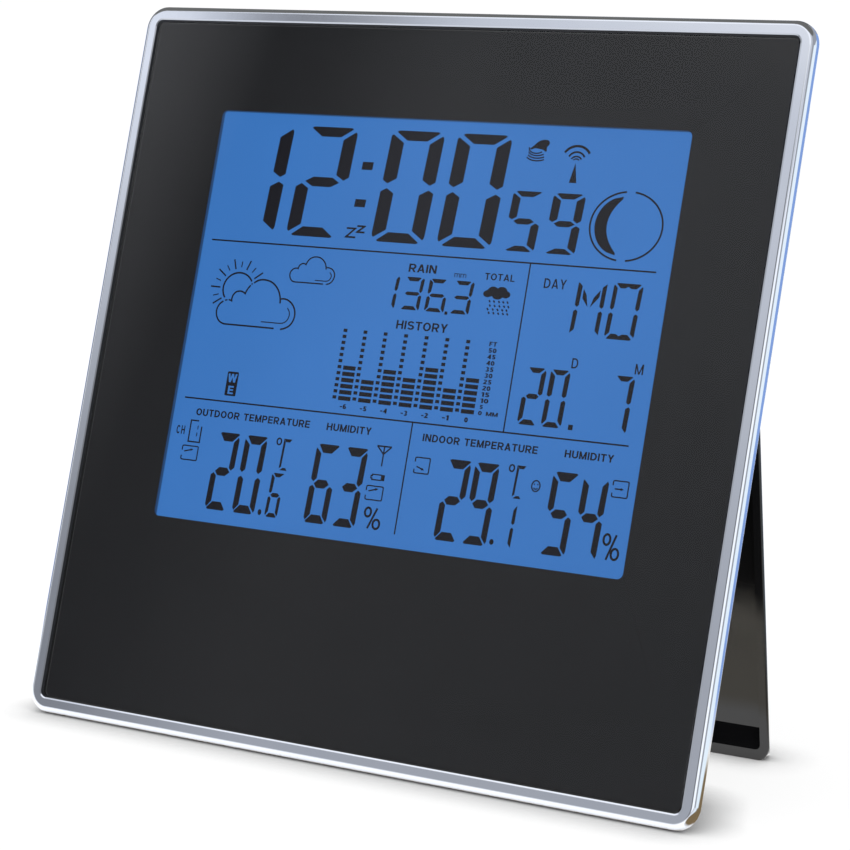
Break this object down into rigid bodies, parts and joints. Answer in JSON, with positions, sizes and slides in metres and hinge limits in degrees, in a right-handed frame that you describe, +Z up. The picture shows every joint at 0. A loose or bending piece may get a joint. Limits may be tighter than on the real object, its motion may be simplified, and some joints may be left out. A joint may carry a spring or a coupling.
{
  "type": "weather station",
  "caption": "Free-standing indoor weather station: square glossy panel in a thin bright frame, lit LCD, keys and battery door on the back, fold-out stand.",
  "frame": {"origin": "bottom centre of the whole object's box at rest, on the table between the front edge and the foot of the open stand", "axes": "+Z up, the display faces -Y and leans back 17.56 degrees, +X to the right as seen from the front; rest pose is standing with the stand open"},
  "size_m": [0.177, 0.075, 0.1639],
  "materials": {
    "trim_chrome": "satin-bright plated trim",
    "lens_clear": "clear, polished",
    "mask_black": "black print behind the clear front",
    "foam_tape": "black foam tape",
    "case_black": "fine matte texture",
    "stand_black": "glossy black",
    "lcd_blue": "blue lit liquid-crystal display film",
    "lcd_glass": "thin display glass",
    "film_white": "white optical film",
    "guide_clear": "clear acrylic light guide",
    "white_plastic": "white moulded plastic",
    "led_body": "LED package",
    "elastomer": "conductive elastomer",
    "board_green": "green circuit board",
    "epoxy_black": "black epoxy",
    "tin": "tinned metal",
    "steel": "zinc-plated steel",
    "nickel": "nickel-plated spring steel",
    "brass_disc": "brass",
    "copper_wire": "enamelled copper winding",
    "ferrite": "sintered ferrite",
    "wire_red": "red insulation",
    "wire_black": "black insulation",
    "cell_sleeve": "printed steel sleeve",
    "key_rubber": "soft-touch dark grey",
    "switch_black": "black moulding"
  },
  "bodies": {
    "case": {"front_frame": "trim_chrome", "front_lens": "lens_clear", "window_mask": "mask_black", "lens_adhesive": "foam_tape", "front_case": "case_black", "rear_case": "case_black", "hinge_pins": "steel", "lcd_front_polariser": "lcd_blue", "lcd_front_glass": "lcd_glass", "lcd_rear_glass": "lcd_glass", "lcd_rear_polariser": "film_white", "diffuser_film": "film_white", "light_guide": "guide_clear", "reflector_film": "film_white", "backlight_board": "white_plastic", "backlight_leds": "led_body", "lcd_frame": "white_plastic", "elastomer_strip": "elastomer", "main_board": "board_green", "board_screws": "steel", "case_screws": "steel", "controller_blob": "epoxy_black", "clock_crystal": "tin", "capacitor": "epoxy_black", "climate_sensor": "white_plastic", "buzzer_case": "switch_black", "buzzer_disc": "brass_disc", "receiver_board": "board_green", "receiver_pins": "tin", "receiver_coil": "copper_wire", "aerial_wire": "wire_black", "ferrite_rod": "ferrite", "aerial_coil": "copper_wire", "battery_cells": "cell_sleeve", "battery_contacts": "nickel", "battery_springs": "nickel", "battery_wire_red": "wire_red", "battery_wire_black": "wire_black", "key_switches": "switch_black", "snooze_switch": "switch_black", "unit_switch_body": "tin"},
    "stand": {"stand": "stand_black"},
    "battery_door": {"battery_door": "case_black"},
    "snooze_key": {"snooze_key": "key_rubber", "snooze_plunger": "switch_black"},
    "unit_switch_knob": {"unit_switch_knob": "switch_black"},
    "key_mode": {"key_mode": "key_rubber", "plunger_mode": "switch_black"},
    "key_up": {"key_up": "key_rubber", "plunger_up": "switch_black"},
    "key_down": {"key_down": "key_rubber", "plunger_down": "switch_black"},
    "key_alarm": {"key_alarm": "key_rubber", "plunger_alarm": "switch_black"},
    "key_channel": {"key_channel": "key_rubber", "plunger_channel": "switch_black"},
    "key_history": {"key_history": "key_rubber", "plunger_history": "switch_black"}
  },
  "joints": [
    {"name": "stand_hinge", "type": "hinge", "parent": "case", "child": "stand", "pos_m": [0, 0.01202, 0.0787], "axis": [1, 0, 0], "range_deg": [-23.9, 0]},
    {"name": "battery_door_slide", "type": "slide", "parent": "case", "child": "battery_door", "axis": [0, -0.3017, -0.9534], "range_m": [0, 0.038]},
    {"name": "snooze_key_press", "type": "slide", "parent": "case", "child": "snooze_key", "axis": [0, -0.3017, -0.9534], "range_m": [0, 0.0005], "stiffness_N_per_m": 1500},
    {"name": "unit_switch_slide", "type": "slide", "parent": "case", "child": "unit_switch_knob", "axis": [1, 0, 0], "range_m": [0, 0.002]},
    {"name": "key_mode_press", "type": "slide", "parent": "case", "child": "key_mode", "axis": [0, -0.9534, 0.3017], "range_m": [0, 0.0005], "stiffness_N_per_m": 1500},
    {"name": "key_up_press", "type": "slide", "parent": "case", "child": "key_up", "axis": [0, -0.9534, 0.3017], "range_m": [0, 0.0005], "stiffness_N_per_m": 1500},
    {"name": "key_down_press", "type": "slide", "parent": "case", "child": "key_down", "axis": [0, -0.9534, 0.3017], "range_m": [0, 0.0005], "stiffness_N_per_m": 1500},
    {"name": "key_alarm_press", "type": "slide", "parent": "case", "child": "key_alarm", "axis": [0, -0.9534, 0.3017], "range_m": [0, 0.0005], "stiffness_N_per_m": 1500},
    {"name": "key_channel_press", "type": "slide", "parent": "case", "child": "key_channel", "axis": [0, -0.9534, 0.3017], "range_m": [0, 0.0005], "stiffness_N_per_m": 1500},
    {"name": "key_history_press", "type": "slide", "parent": "case", "child": "key_history", "axis": [0, -0.9534, 0.3017], "range_m": [0, 0.0005], "stiffness_N_per_m": 1500}
  ]
}
